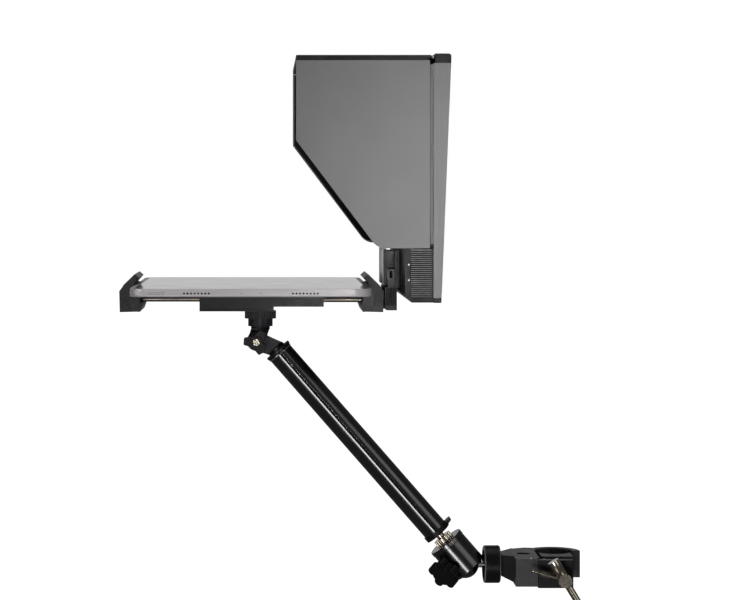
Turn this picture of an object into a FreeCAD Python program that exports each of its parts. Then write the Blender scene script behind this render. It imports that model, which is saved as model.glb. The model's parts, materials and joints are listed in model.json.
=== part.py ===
import FreeCAD, Part

import math
import os

# Teleprompter: a folding hood on a lens, a spring-loaded tablet tray, a support arm and a column clamp.
# Millimetres. The origin is on the lens axis at the back of the hood frame, +X points to the camera,
# +Z is up, and the talent looks in from -X. "left" is the -Y side, as the camera operator sees it.

V = FreeCAD.Vector

# hood frame
FRAME_HALF = 105.5
FRAME_FRONT = -10.0
FRAME_TOP = 83.1
FRAME_BOTTOM = -101.7
TOP_RAIL_FOOT = 76.0
BOTTOM_RAIL_HEAD = -98.0
BACK_SLOPE = 0.0406
RING_POCKET_R = 43.05
RING_SEAT_X = -5.0
LIGHT_HOLE_R = 39.0

# lens adapter ring
FLANGE_R = 43.0
FLANGE_BACK = -2.4
GASKET_FACE = -4.4
SPIGOT_R = 27.5
SPIGOT_BORE_R = 25.0
SPIGOT_END = 5.0

# base housing under the window
BASE_TOP = -61.5
BASE_BOTTOM = -101.5
BASE_NOSE = -31.0
BASE_HALF = 104.0
WALL = 2.0
GRIP_X = (-26.8, -11.2)
GRIP_Z = (-97.2, -62.0)
RIB_PITCH = 1.5

# flaps
FLAP_FRONT = -111.7
FLAP_BACK = -12.6
FLAP_TOP = 78.1
FLAP_OUT = 105.0
FLAP_IN = 102.6
LINING_IN = 101.8
FLAP_EDGE_FOOT = 18.8
FLAP_LOW = -61.2
FLAP_SLANT_END = (-51.3, FLAP_LOW)
TOP_FLAP_Z = (79.6, 82.0)
TOP_LIP_FOOT = 78.3
KNUCKLE_R = 1.2
PIN_R = 0.6
PIN_GAP = 0.05
SIDE_AXIS = (-11.3, 104.9)
TOP_AXIS = (-10.0, 80.8)
SIDE_KNUCKLES = ((-58.0, -50.0), (4.0, 12.0), (67.0, 75.0))
TOP_KNUCKLES = ((-100.0, -80.0), (-10.0, 10.0), (80.0, 100.0))

# glass
GLASS_AXIS = (-17.0, -54.0)
GLASS_HALF = 92.0
GLASS_TILT = -45.0

# phone bracket and hinge block
PHONE_AXIS = (-42.2, -89.3)
PHONE_PIN_R = 0.7
PLATE_X = (-43.4, -41.0)
PLATE_TOP = -63.6
TRAY_AXIS = (-40.2, -108.6)
BLOCK_X = (-42.4, -33.0)
BLOCK_Z = (-110.8, -93.0)
CHEEK_HALF = 32.0
TRAY_PIN_HALF = 31.0
TRAY_PIN_R = 1.2
LUG_HALF = 10.0

# tablet
TABLET_MID = -145.25
TABLET_HALF_X = 89.25
TABLET_HALF_Y = 123.8
TABLET_Z = (-96.6, -90.7)
TABLET_CORNER = 14.0
SCREEN_INSET = 3.4

# tray
ROD_R = 2.0
ROD_GAP = 0.06
ROD_Z = -103.1
FRONT_ROD_Y = 9.0
REAR_ROD_Y = 18.0
JAW_HALF = 35.0
JAW_RIB_HALF = 28.0
CORE_X = (-185.5, -128.0, -89.3)
CORE_Z = (-111.8, -108.2, -98.0)
CORE_HALF = 28.0
SPRING_SPAN = (-182.0, -112.0)

# arm
HEAD_X = -138.4
STUD_R = 3.17
COLLAR_R = 12.35
PIVOT = (-141.6, -136.3)
PIVOT_R = 7.4
BOLT_R = 2.0
ARM_START = V(-123.1, 0, -145.3)
ARM_SLOPE = 48.8
ARM_DIR = V(math.cos(math.radians(ARM_SLOPE)), 0, -math.sin(math.radians(ARM_SLOPE)))
ARM_UP = V(math.sin(math.radians(ARM_SLOPE)), 0, math.cos(math.radians(ARM_SLOPE)))
TUBE_R = 10.1
TUBE_BORE_R = 8.6
TUBE_LENGTH = 184.8
STUD_SPAN = (180.8, 205.0)
NUT_SPAN = (192.6, 196.8)
HEAD_COLLAR = (197.0, 201.0)

# ball head
HOUSING_R = 14.5
HOUSING_SPAN = (201.1, 226.0)
KNOB_ALONG = 212.8
KNOB_DOWN = 0.72
KNOB_SIDE = 0.694
BALL_CENTRE = V(22.0, 0, -311.5)
BALL_R = 11.0
STEM_R = 2.7

# column clamp
WHEEL_X = (36.6, 49.4)
WHEEL_R = 14.7
CLAMP_Z = (-322.0, -301.0)
BLOCK_START = 74.5
WALL_IN = -37.0
COLUMN_X = 91.5
COLUMN_R = 12.5
PAD_BACK_R = 14.5
SCREW_X = 93.4
SCREW_Z = -315.0
LEVER_Y = -56.0
LEVER_DIR = V(0.52, 0, -0.854)
TOMMY_R = 1.3
TOMMY_RUN = V(-24.0, 0, 6.9)


def box(x, y, z):
    """A block that fills three (low, high) ranges."""
    return Part.makeBox(x[1] - x[0], y[1] - y[0], z[1] - z[0], V(x[0], y[0], z[0]))


def rod(radius, start, end):
    """A round bar from one point to another."""
    run = V(end) - V(start)
    return Part.makeCylinder(radius, run.Length, V(start), run)


def pipe(outer, inner, start, end):
    """A round bar with a round hole along it."""
    return rod(outer, start, end).cut(rod(inner, start, end))


def slab(outline, y):
    """A side-view outline of (x, z) points, extruded over a range of y."""
    corners = [V(px, y[0], pz) for px, pz in outline]
    face = Part.Face(Part.makePolygon(corners + corners[:1]))
    return face.extrude(V(0, y[1] - y[0], 0))


def plate(outline, z):
    """A plan outline of (x, y) points, extruded over a range of z."""
    corners = [V(px, py, z[0]) for px, py in outline]
    face = Part.Face(Part.makePolygon(corners + corners[:1]))
    return face.extrude(V(0, 0, z[1] - z[0]))


def join(first, *others):
    """One solid out of several that touch or overlap."""
    return first.fuse(list(others)).removeSplitter()


def group(solids):
    """Separate solids that share one node."""
    return Part.makeCompound(list(solids))


def mirrored(shape):
    """The same shape on the other side of the XZ plane."""
    return shape.mirror(V(0, 0, 0), V(0, 1, 0))


def edges_along(shape, axis, near=None, reach=1.6):
    """Straight edges parallel to an axis, all of them or those near a point of (x, y, z), None for any."""
    found = []
    for edge in shape.Edges:
        if not isinstance(edge.Curve, Part.Line) or abs(edge.Curve.Direction.dot(axis)) < 0.999:
            continue
        middle = edge.CenterOfMass
        spot = (middle.x, middle.y, middle.z)
        if near is None or all(n is None or abs(n - s) < reach for n, s in zip(near, spot)):
            found.append(edge)
    return found


def softened(shape, radius, axis, near=None):
    """A shape with its edges along an axis rounded."""
    return shape.makeFillet(radius, edges_along(shape, axis, near))


def arm_point(along, up=0.0, side=0.0):
    """A point in the arm's own frame: along the tube, up square to it, and sideways."""
    return ARM_START + ARM_DIR * along + ARM_UP * up + V(0, side, 0)


def save(name, shape):
    """Write one node and say how many solids it has."""
    shape.exportStep("parts/%s.step" % name)
    print("%-22s solids %2d valid %s" % (name, len(shape.Solids), shape.isValid()))


def back_x(z):
    """The leaning back face of the hood frame at a height."""
    return BACK_SLOPE * z


def frame_slice(front, low, high, half):
    """A piece of the hood frame between two heights, down to its leaning back face."""
    outline = [(front, low), (front, high), (back_x(high), high), (back_x(low), low)]
    return slab(outline, (-half, half))


# ---------------------------------------------------------------- hood frame


def frame_screw_places():
    """Where the six back screws of the frame sit, as (y, z)."""
    return [(side * 97.0, z) for side in (-1, 1) for z in (66.0, -12.0, -90.0)]


def back_screws():
    """Six socket screws, flush in the back of the frame."""
    screws = []
    for y, z in frame_screw_places():
        tip = back_x(z) - 0.4
        head = rod(2.2, V(tip - 1.6, y, z), V(tip, y, z))
        screw = join(head, rod(1.1, V(-9.0, y, z), V(tip - 1.6, y, z)))
        screws.append(screw.cut(rod(1.0, V(tip - 0.9, y, z), V(tip, y, z))))
    return screws


def rear_frame():
    """The flat frame behind the glass, with the ring pocket, latch slots and side hinge knuckles."""
    body = frame_slice(FRAME_FRONT, BOTTOM_RAIL_HEAD, TOP_RAIL_FOOT, FRAME_HALF)
    hole = rod(LIGHT_HOLE_R, V(FRAME_FRONT - 1, 0, 0), V(5, 0, 0))
    pocket = rod(RING_POCKET_R, V(RING_SEAT_X, 0, 0), V(5, 0, 0))
    slots = [box((-2.6, 5), (-62.2, -40), (-7.2, 7.2)), box((-2.6, 5), (40, 62.2), (-7.2, 7.2))]
    body = body.cut([hole, pocket] + slots)
    for y, z in frame_screw_places():
        tip = back_x(z) - 0.4
        body = body.cut([rod(1.1, V(-9, y, z), V(5, y, z)), rod(2.2, V(tip - 1.6, y, z), V(5, y, z))])
    knuckles = []
    axis_x, axis_y = SIDE_AXIS
    for side in (-1, 1):
        for low, high in SIDE_KNUCKLES:
            y = side * axis_y
            web_y = sorted((side * (axis_y - 1.0), side * (axis_y + 0.6)))
            knuckles.append(rod(KNUCKLE_R, V(axis_x, y, low), V(axis_x, y, high)))
            knuckles.append(box((axis_x, FRAME_FRONT + 0.5), web_y, (low, high)))
    body = join(body, *knuckles)
    pins = [rod(PIN_R, V(axis_x, s * axis_y, -58.0), V(axis_x, s * axis_y, 75.0)) for s in (-1, 1)]
    return body.cut(pins)


def top_rail():
    """The black cap along the top of the frame, with the top flap's fixed knuckles."""
    body = frame_slice(-8.7, TOP_RAIL_FOOT, FRAME_TOP, FRAME_HALF)
    body = softened(body, 2.2, V(0, 1, 0), (back_x(FRAME_TOP), None, FRAME_TOP))
    x, z = TOP_AXIS
    for low, high in TOP_KNUCKLES:
        barrel = rod(KNUCKLE_R, V(x, low, z), V(x, high, z))
        body = join(body, barrel, box((x, -8.2), (low, high), (z - 1.1, z + 1.1)))
    return body.cut(rod(PIN_R, V(x, -101, z), V(x, 101, z)))


def bottom_rail():
    """The black cap along the bottom of the frame."""
    return frame_slice(FRAME_FRONT, FRAME_BOTTOM, BOTTOM_RAIL_HEAD, FRAME_HALF)


def front_bezel():
    """The frame's front trim: a window, and two lugs that carry the glass frame."""
    body = box((-12, FRAME_FRONT), (-101.5, 101.5), (-60.5, 75.5))
    body = body.cut(box((-13, 0), (-92, 92), (-50, 70)))
    x, z = GLASS_AXIS
    for y in ((-100.8, -96.5), (96.5, 100.8)):
        lug = join(rod(3.4, V(x, y[0], z), V(x, y[1], z)), box((x, -12), y, (z - 3.4, z + 3.4)))
        body = join(body, lug)
    return body.cut(rod(1.5, V(x, -101, z), V(x, 101, z)))


def gasket():
    """A flat rubber ring between the frame and the lens ring."""
    return pipe(43.0, 39.5, V(RING_SEAT_X, 0, 0), V(GASKET_FACE, 0, 0))


def adapter_ring():
    """The ring that screws into the lens: a wide flange and a short threaded spigot."""
    flange = pipe(FLANGE_R, SPIGOT_BORE_R, V(GASKET_FACE, 0, 0), V(FLANGE_BACK, 0, 0))
    spigot = pipe(SPIGOT_R, SPIGOT_BORE_R, V(FLANGE_BACK, 0, 0), V(SPIGOT_END, 0, 0))
    ring = join(flange, spigot)
    notches = []
    for i in range(24):
        turn = math.radians(15 * i)
        y = 36 * math.cos(turn)
        z = 36 * math.sin(turn)
        notches.append(rod(1.6, V(FLANGE_BACK - 0.8, y, z), V(FLANGE_BACK, y, z)))
    return ring.cut(notches)


def latch(side):
    """A sliding spring latch that reaches over the ring's flange, flush with the back of the frame."""
    body = box((FLANGE_BACK + 0.1, -0.5), (41.2, 59.0), (-7.0, 7.0))
    ridges = [box((-1.0, 0), (y, y + 0.9), (-5.5, 5.5)) for y in (47.0, 49.0, 51.0, 53.0, 55.0)]
    body = body.cut(ridges)
    if side < 0:
        body = mirrored(body)
    return body


def base_side_outline(inset=0.0):
    """Side view of the base housing, with its sloping lower front edge."""
    nose = BASE_NOSE + inset
    top = BASE_TOP - inset
    low = BASE_BOTTOM + inset
    slope = [(nose, -96.0 + inset / 2), (-26.2 + inset / 2, low)]
    return [(FRAME_FRONT, top), (nose, top)] + slope + [(FRAME_FRONT, low)]


def side_screw_places():
    """Where the small screws on the ends of the base housing sit, as (x, z)."""
    return [(-28.3, -73.3), (-28.3, -84.9)]


def base_housing():
    """The hollow housing under the window, closed at the back by the frame."""
    body = slab(base_side_outline(), (-BASE_HALF, BASE_HALF))
    body = body.cut(slab(base_side_outline(WALL), (-BASE_HALF + WALL, BASE_HALF - WALL)))
    for side in (-1, 1):
        y = sorted((side * (BASE_HALF - 0.9), side * (BASE_HALF + 1)))
        slot = box((-25.2, -12.4), y, (-100.7, -98.2))
        body = body.cut(softened(slot, 1.2, V(0, 1, 0)))
        for x, z in side_screw_places():
            body = body.cut(rod(0.8, V(x, side * 100, z), V(x, side * 110, z)))
    return body


def grip(side):
    """A ribbed grip plate on one end of the base housing."""
    y = (BASE_HALF, FRAME_HALF)
    body = box(GRIP_X, y, GRIP_Z)
    grooves = []
    count = int((GRIP_Z[1] - GRIP_Z[0]) / RIB_PITCH)
    for i in range(count):
        low = GRIP_Z[0] + 0.45 + i * RIB_PITCH
        grooves.append(box((GRIP_X[0] - 1, GRIP_X[1] + 1), (y[1] - 0.8, y[1] + 1), (low, low + 0.75)))
    body = body.cut(grooves)
    if side < 0:
        body = mirrored(body)
    return body


def side_screws():
    """Four small silver screws on the ends of the base housing."""
    screws = []
    for side in (-1, 1):
        for x, z in side_screw_places():
            screws.append(rod(0.8, V(x, side * 102.2, z), V(x, side * 104.5, z)))
    return screws


# ---------------------------------------------------------------- flaps


def side_outline(edge):
    """Side view of a side flap, drawn in from its edges by a margin."""
    low_x, low_z = FLAP_SLANT_END
    return [
        (FLAP_BACK - edge, FLAP_TOP - edge),
        (FLAP_FRONT + edge, FLAP_TOP - edge),
        (FLAP_FRONT + edge, FLAP_EDGE_FOOT + edge * 0.3),
        (low_x + edge * 0.4, low_z + edge),
        (FLAP_BACK - edge, FLAP_LOW + edge),
    ]


def flap_gaps():
    """The runs of the side hinge that belong to the flap."""
    return [(-49.8, 3.8), (12.2, 66.8)]


def side_flap(side):
    """A side flap board with its hinge knuckles."""
    body = slab(side_outline(0.0), (FLAP_IN, FLAP_OUT))
    body = softened(body, 12.0, V(0, 1, 0), (FLAP_SLANT_END[0], None, FLAP_LOW))
    body = softened(body, 2.0, V(0, 1, 0), (FLAP_FRONT, None, FLAP_EDGE_FOOT))
    x, y = SIDE_AXIS
    knuckles = []
    for low, high in flap_gaps():
        knuckles.append(rod(KNUCKLE_R, V(x, y, low), V(x, y, high)))
        knuckles.append(box((FLAP_BACK - 0.5, x), (y - 1.0, FLAP_OUT), (low, high)))
    body = join(body, *knuckles)
    body = body.cut(rod(PIN_R + PIN_GAP, V(x, y, -70), V(x, y, 80)))
    if side < 0:
        body = mirrored(body)
    return body


def side_lining(side):
    """The black lining on the inner face of a side flap."""
    body = slab(side_outline(1.2), (LINING_IN, FLAP_IN))
    body = softened(body, 11.0, V(0, 1, 0), (FLAP_SLANT_END[0] + 0.5, None, FLAP_LOW + 1.2))
    if side < 0:
        body = mirrored(body)
    return body


def top_flap():
    """The top flap: a board with a lip that covers the side flaps' upper edges."""
    x, z = TOP_AXIS
    body = box((FLAP_FRONT, -11.5), (-FLAP_OUT, FLAP_OUT), TOP_FLAP_Z)
    skirt = box((FLAP_FRONT, -13.5), (-FLAP_OUT, FLAP_OUT), (TOP_LIP_FOOT, TOP_FLAP_Z[0]))
    inner = box((FLAP_FRONT + 2.4, 0), (-FLAP_OUT + 3.2, FLAP_OUT - 3.2), (TOP_LIP_FOOT, TOP_FLAP_Z[0]))
    knuckles = []
    for low, high in ((-79.8, -10.2), (10.2, 79.8)):
        knuckles.append(rod(KNUCKLE_R, V(x, low, z), V(x, high, z)))
        knuckles.append(box((-12.0, x), (low, high), (z - 1.0, z + 1.1)))
    body = join(body, skirt.cut(inner), *knuckles)
    return body.cut(rod(PIN_R + PIN_GAP, V(x, -101, z), V(x, 101, z)))


def top_lining():
    """The black lining under the top flap."""
    return box((FLAP_FRONT + 3.0, -15.0), (-101.0, 101.0), (TOP_FLAP_Z[0] - 0.7, TOP_FLAP_Z[0]))


def cross_pin(radius, axis, y):
    """A pin along Y through an (x, z) point."""
    return rod(radius, V(axis[0], y[0], axis[1]), V(axis[0], y[1], axis[1]))


def hinge_pins():
    """The steel pins of the flaps, the glass frame, the phone plate and the tray."""
    x, y = SIDE_AXIS
    pins = [rod(PIN_R, V(x, s * y, -58), V(x, s * y, 75)) for s in (-1, 1)]
    pins.append(rod(PIN_R, V(TOP_AXIS[0], -100, TOP_AXIS[1]), V(TOP_AXIS[0], 100, TOP_AXIS[1])))
    for s in (-1, 1):
        pins.append(cross_pin(1.5, GLASS_AXIS, (s * 92.5, s * 100.8)))
    pins.append(cross_pin(PHONE_PIN_R, PHONE_AXIS, (-20, 20)))
    pins.append(cross_pin(TRAY_PIN_R, TRAY_AXIS, (-TRAY_PIN_HALF, TRAY_PIN_HALF)))
    return pins


# ---------------------------------------------------------------- glass


def lean_forward(shape):
    """Turn a shape drawn upright on the glass hinge to the glass's working angle."""
    x, z = GLASS_AXIS
    shape.translate(V(x, 0, z))
    shape.rotate(V(x, 0, z), V(0, 1, 0), GLASS_TILT)
    return shape


def glass_sheet():
    """The beam-splitter glass, drawn upright on its hinge."""
    return box((-1, 1), (-GLASS_HALF, GLASS_HALF), (1.6, 121.0))


def glass_frame():
    """The frame round the glass, with a groove that holds it and two bearing holes."""
    body = box((-2.5, 2.5), (-95.5, 95.5), (-3.6, 124.0))
    body = softened(body, 4.0, V(1, 0, 0), (None, None, 124.0))
    window = box((-3, 3), (-88.5, 88.5), (4.4, 118.0))
    holes = [rod(1.5 + PIN_GAP, V(0, s * 92.4, 0), V(0, s * 96, 0)) for s in (-1, 1)]
    return body.cut([window, glass_sheet()] + holes)


# ---------------------------------------------------------------- phone bracket


def bracket_base():
    """The bracket's fixed part: a back plate, an upper block and the lower knuckle block."""
    back = box((-34.5, BASE_NOSE), (-CHEEK_HALF, CHEEK_HALF), (-93.0, -64.0))
    upper = box((-40.8, -34.5), (-26, 26), (-77.5, -65.2))
    upper = upper.cut([box((-39.6, -35.4), y, (-76.3, -67.6)) for y in ((-27, -23), (23, 27))])
    arms = [box((-40.8, -34.5), y, (-93.0, -79.0)) for y in ((-30, -24), (24, 30))]
    slots = [box((-38.6, -36.4), (-31, 31), (-86.0, -80.5)), box((-41, -40), (-31, 31), (-94, -86.8))]
    arms = [arm.cut(slots) for arm in arms]
    x, z = PHONE_AXIS
    lug = join(box((x, -34.5), (-12, 12), (z - 1.1, z + 1.1)), cross_pin(1.1, PHONE_AXIS, (-12, 12)))
    foot = box((-40.8, -34.5), (-12, 12), (-93.0, -86.0))
    return join(back, upper, foot, lug, *arms).cut(cross_pin(PHONE_PIN_R, PHONE_AXIS, (-21, 21)))


def phone_plate():
    """The plate that folds down to hold a phone, folded up here."""
    body = box(PLATE_X, (-30.0, 30.0), (-91.0, PLATE_TOP))
    body = body.cut(box((-46, -40), (-12.3, 12.3), (-92, -87.0)))
    return body.cut(cross_pin(PHONE_PIN_R + PIN_GAP, PHONE_AXIS, (-20.5, 20.5)))


def plate_face():
    """The thin light sheet that faces the phone plate and wraps over its upper edge."""
    front = box((PLATE_X[0] - 0.4, PLATE_X[0]), (-30.0, 30.0), (-91.0, PLATE_TOP + 0.4))
    lip = box((PLATE_X[0] - 0.4, PLATE_X[1] - 0.2), (-30.0, 30.0), (PLATE_TOP, PLATE_TOP + 0.4))
    return join(front, lip)


def hinge_block():
    """The ribbed block under the bracket, with a slot for the tray's lug."""
    body = box(BLOCK_X, (-CHEEK_HALF, CHEEK_HALF), BLOCK_Z)
    body = softened(body, 2.1, V(0, 1, 0), (BLOCK_X[0], None, BLOCK_Z[0]))
    grooves = []
    for side in (-1, 1):
        for i in range(6):
            x = BLOCK_X[0] + 1.1 + 1.35 * i
            y = sorted((side * (CHEEK_HALF - 0.4), side * (CHEEK_HALF + 1)))
            grooves.append(box((x, x + 0.6), y, (-106.5, -94.0)))
    slot = box((BLOCK_X[0] - 1, -36.9), (-LUG_HALF - 0.2, LUG_HALF + 0.2), (BLOCK_Z[0] - 1, -103.0))
    pin = cross_pin(TRAY_PIN_R, TRAY_AXIS, (-TRAY_PIN_HALF, TRAY_PIN_HALF))
    return body.cut(grooves + [slot, pin])


# ---------------------------------------------------------------- tablet tray


def jaw_x(side, out):
    """A distance out from the tablet's centre line, as x: side 1 is the rear jaw, -1 the front jaw."""
    return TABLET_MID + side * out


def jaw_solid(side):
    """One jaw: a hook over the tablet's edge, a shelf under it and a deeper rib behind."""
    hook = [(89.9, -82.6), (98.85, -91.3)]
    hollow = [(86.0, -112.0), (84.2, -107.4), (86.1, -103.6), (86.1, -96.6)]
    hollow += [(90.7, -96.6), (90.7, -90.1), (86.55, -85.5)]
    thin = hook + [(96.05, -96.7), (92.9, -110.5)] + hollow
    deep = hook + [(102.3, -96.3), (101.9, -112.4)] + hollow
    ends = slab([(jaw_x(side, u), z) for u, z in thin], (-JAW_HALF, JAW_HALF))
    middle = slab([(jaw_x(side, u), z) for u, z in deep], (-JAW_RIB_HALF, JAW_RIB_HALF))
    body = join(ends, middle)
    return body


def rod_pair(radius, y, x):
    """Two round bars along X at plus and minus y, at the tray's rod height."""
    return [rod(radius, V(x[0], s * y, ROD_Z), V(x[1], s * y, ROD_Z)) for s in (-1, 1)]


def rear_jaw():
    """The rear jaw, with the lug that hangs on the hinge block's pin."""
    x, z = TRAY_AXIS
    lug = join(
        rod(2.0, V(x, -LUG_HALF, z), V(x, LUG_HALF, z)),
        box((-44.0, x), (-LUG_HALF, LUG_HALF), (z - 2.0, z + 2.0)),
    )
    body = join(jaw_solid(1), lug)
    bore = cross_pin(TRAY_PIN_R + PIN_GAP, TRAY_AXIS, (-20, 20))
    return body.cut([bore] + rod_pair(ROD_R, REAR_ROD_Y, (-62.0, -50.0)))


def front_jaw():
    """The front jaw."""
    return jaw_solid(-1).cut(rod_pair(ROD_R, FRONT_ROD_Y, (-240.0, -228.0)))


def jaw_pad(side):
    """The ribbed rubber pad between a jaw and the tablet's edge."""
    near, far = sorted((jaw_x(side, 89.25), jaw_x(side, 90.7)))
    body = box((near, far), (-30, 30), (-96.5, -90.4))
    face = jaw_x(side, 89.25)
    cuts = []
    for i in range(11):
        y = -27.6 + 5.2 * i
        cuts.append(box((face - 0.45, face + 0.45), (y, y + 3.2), (-96.6, -90.3)))
    return body.cut(cuts)


def rear_rods():
    """Two steel rods fixed in the rear jaw."""
    return rod_pair(ROD_R, REAR_ROD_Y, (-150.0, -50.0))


def front_rods():
    """Two steel rods fixed in the front jaw, with a collar at the inner end of each."""
    rods = []
    for s, bar in zip((-1, 1), rod_pair(ROD_R, FRONT_ROD_Y, (-240.0, -110.0))):
        collar = rod(3.4, V(-112.0, s * FRONT_ROD_Y, ROD_Z), V(-110.0, s * FRONT_ROD_Y, ROD_Z))
        rods.append(join(bar, collar))
    return rods


def centre_block():
    """The block the jaws slide in: a deep half over the arm and a slimmer half."""
    deep = box((CORE_X[0], CORE_X[1]), (-CORE_HALF, CORE_HALF), (CORE_Z[0], CORE_Z[2]))
    slim = box((CORE_X[1], CORE_X[2]), (-CORE_HALF, CORE_HALF), (CORE_Z[1], CORE_Z[2]))
    body = join(deep, slim)
    recess = [(-181.0, -110.6), (-174.0, -101.5), (-141.0, -101.5), (-133.0, -108.5), (-133.0, -110.6)]
    cuts = [slab(recess, y) for y in ((-29, -26.6), (26.6, 29))]
    cuts += rod_pair(3.7, FRONT_ROD_Y, (SPRING_SPAN[0], -108.0))
    cuts += rod_pair(ROD_R + ROD_GAP, FRONT_ROD_Y, (-190.0, -180.0))
    cuts += rod_pair(ROD_R + ROD_GAP, REAR_ROD_Y, (-182.0, -85.0))
    cuts.append(rod(5.0, V(HEAD_X, 0, -112), V(HEAD_X, 0, -103)))
    return body.cut(cuts)


def thread_insert():
    """The brass insert in the centre block that takes the arm's screw."""
    return pipe(5.0, STUD_R + 0.05, V(HEAD_X, 0, CORE_Z[0]), V(HEAD_X, 0, -103))


def jaw_springs():
    """Two coil springs round the front rods, inside the centre block."""
    length = SPRING_SPAN[1] - SPRING_SPAN[0]
    springs = []
    for side in (-1, 1):
        start = V(SPRING_SPAN[0] + 0.5, side * FRONT_ROD_Y, ROD_Z)
        helix = Part.makeHelix(4.4, length - 1.0, 2.9)
        profile = Part.Wire([Part.makeCircle(0.4, V(2.9, 0, 0), V(0, 1, 0))])
        coil = Part.Wire(helix.Edges).makePipeShell([profile], True, True)
        coil.rotate(V(0, 0, 0), V(0, 1, 0), 90)
        coil.translate(start)
        springs.append(coil)
    return springs


# ---------------------------------------------------------------- tablet


def tablet_body():
    """The tablet's outer block with rounded corners, before anything is cut in it."""
    x = (TABLET_MID - TABLET_HALF_X, TABLET_MID + TABLET_HALF_X)
    body = box(x, (-TABLET_HALF_Y, TABLET_HALF_Y), TABLET_Z)
    return softened(body, TABLET_CORNER, V(0, 0, 1))


def screen():
    """The tablet's cover glass, flush with its upper face."""
    x = (TABLET_MID - TABLET_HALF_X + SCREEN_INSET, TABLET_MID + TABLET_HALF_X - SCREEN_INSET)
    y = (-TABLET_HALF_Y + SCREEN_INSET, TABLET_HALF_Y - SCREEN_INSET)
    body = box(x, y, (TABLET_Z[1] - 0.7, TABLET_Z[1]))
    return softened(body, TABLET_CORNER - SCREEN_INSET, V(0, 0, 1))


def tablet_shell():
    """The tablet's metal shell: screen pocket, sound holes, charge port and button slots."""
    body = tablet_body()
    rim = [e for e in body.Edges if abs(e.CenterOfMass.z - TABLET_Z[0]) < 0.01]
    body = body.makeFillet(1.2, rim)
    mid_z = (TABLET_Z[0] + TABLET_Z[1]) / 2 - 0.2
    holes = []
    for side in (-1, 1):
        face = side * TABLET_HALF_Y
        for centre in (-185.0, -105.2):
            for i in range(8):
                x = centre + 2.6 * (i - 3.5)
                holes.append(rod(0.75, V(x, face - side * 1.2, mid_z), V(x, face + side, mid_z)))
    for x in (-152.3, -138.1):
        holes.append(rod(0.35, V(x, -TABLET_HALF_Y + 0.8, mid_z), V(x, -TABLET_HALF_Y - 1, mid_z)))
    port_x = (TABLET_MID - 4.6, TABLET_MID + 4.6)
    port = box(port_x, (TABLET_HALF_Y - 6, TABLET_HALF_Y + 1), (mid_z - 1.5, mid_z + 1.5))
    holes.append(softened(port, 1.4, V(0, 1, 0)))
    slot_z = (mid_z - 0.85, mid_z + 0.85)
    holes.append(box((-220.1, -208.9), (-TABLET_HALF_Y - 1, -TABLET_HALF_Y + 1.4), slot_z))
    front = TABLET_MID - TABLET_HALF_X
    holes.append(box((front - 1, front + 1.6), (-107.2, -84.8), slot_z))
    return body.cut(holes + [screen()])


def power_button():
    """The tablet's power button."""
    body = box((-220.0, -209.0), (-TABLET_HALF_Y - 0.3, -TABLET_HALF_Y + 0.9), (-94.6, -93.1))
    return softened(body, 0.7, V(0, 1, 0))


def volume_rocker():
    """The tablet's volume rocker, which tips about its middle."""
    front = TABLET_MID - TABLET_HALF_X
    body = box((front - 0.4, front + 0.9), (-106.8, -85.2), (-94.6, -93.1))
    return softened(body, 0.7, V(1, 0, 0))


# ---------------------------------------------------------------- arm head


def grooved(shape, count, depth_r, groove_r, start, end, centre):
    """Cut round grooves along a cylinder about a vertical axis."""
    cuts = []
    for i in range(count):
        turn = 2 * math.pi * i / count
        x = centre[0] + depth_r * math.cos(turn)
        y = centre[1] + depth_r * math.sin(turn)
        cuts.append(rod(groove_r, V(x, y, start), V(x, y, end)))
    return shape.cut(cuts)


def lock_collar():
    """The ribbed ring under the tray that locks the arm's screw."""
    body = rod(COLLAR_R, V(HEAD_X, 0, -118.5), V(HEAD_X, 0, -112.3))
    body = grooved(body, 30, COLLAR_R + 0.35, 0.9, -119, -111, (HEAD_X, 0))
    return body.cut(rod(STUD_R + 0.06, V(HEAD_X, 0, -119), V(HEAD_X, 0, -111)))


def arm_screw():
    """The steel screw on top of the arm."""
    return rod(STUD_R, V(HEAD_X, 0, -122.0), V(HEAD_X, 0, -104.0))


def arm_head():
    """The stepped head under the collar, ending in the near half of the tilt knuckle."""
    px, pz = PIVOT
    tier = rod(9.65, V(HEAD_X, 0, -124.5), V(HEAD_X, 0, -118.6))
    neck = rod(PIVOT_R, V(HEAD_X, 0, -127.2), V(HEAD_X, 0, -124.5))
    disc = rod(PIVOT_R, V(px, -8.0, pz), V(px, -0.1, pz))
    cheek_top = [(HEAD_X - 7.2, -126), (HEAD_X + 7.2, -126)]
    cheek = slab(cheek_top + [(px + 7.2, -136), (px - 7.2, -136)], (-7.0, -0.1))
    body = join(tier, neck, disc, cheek)
    rings = [pipe(r + 0.3, r, V(px, -8.5, pz), V(px, -7.7, pz)) for r in (4.6, 5.7)]
    screw = rod(STUD_R, V(HEAD_X, 0, -122.0), V(HEAD_X, 0, -110))
    return body.cut(rings + [screw, cross_pin(BOLT_R + 0.06, PIVOT, (-9, 9))])


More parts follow.
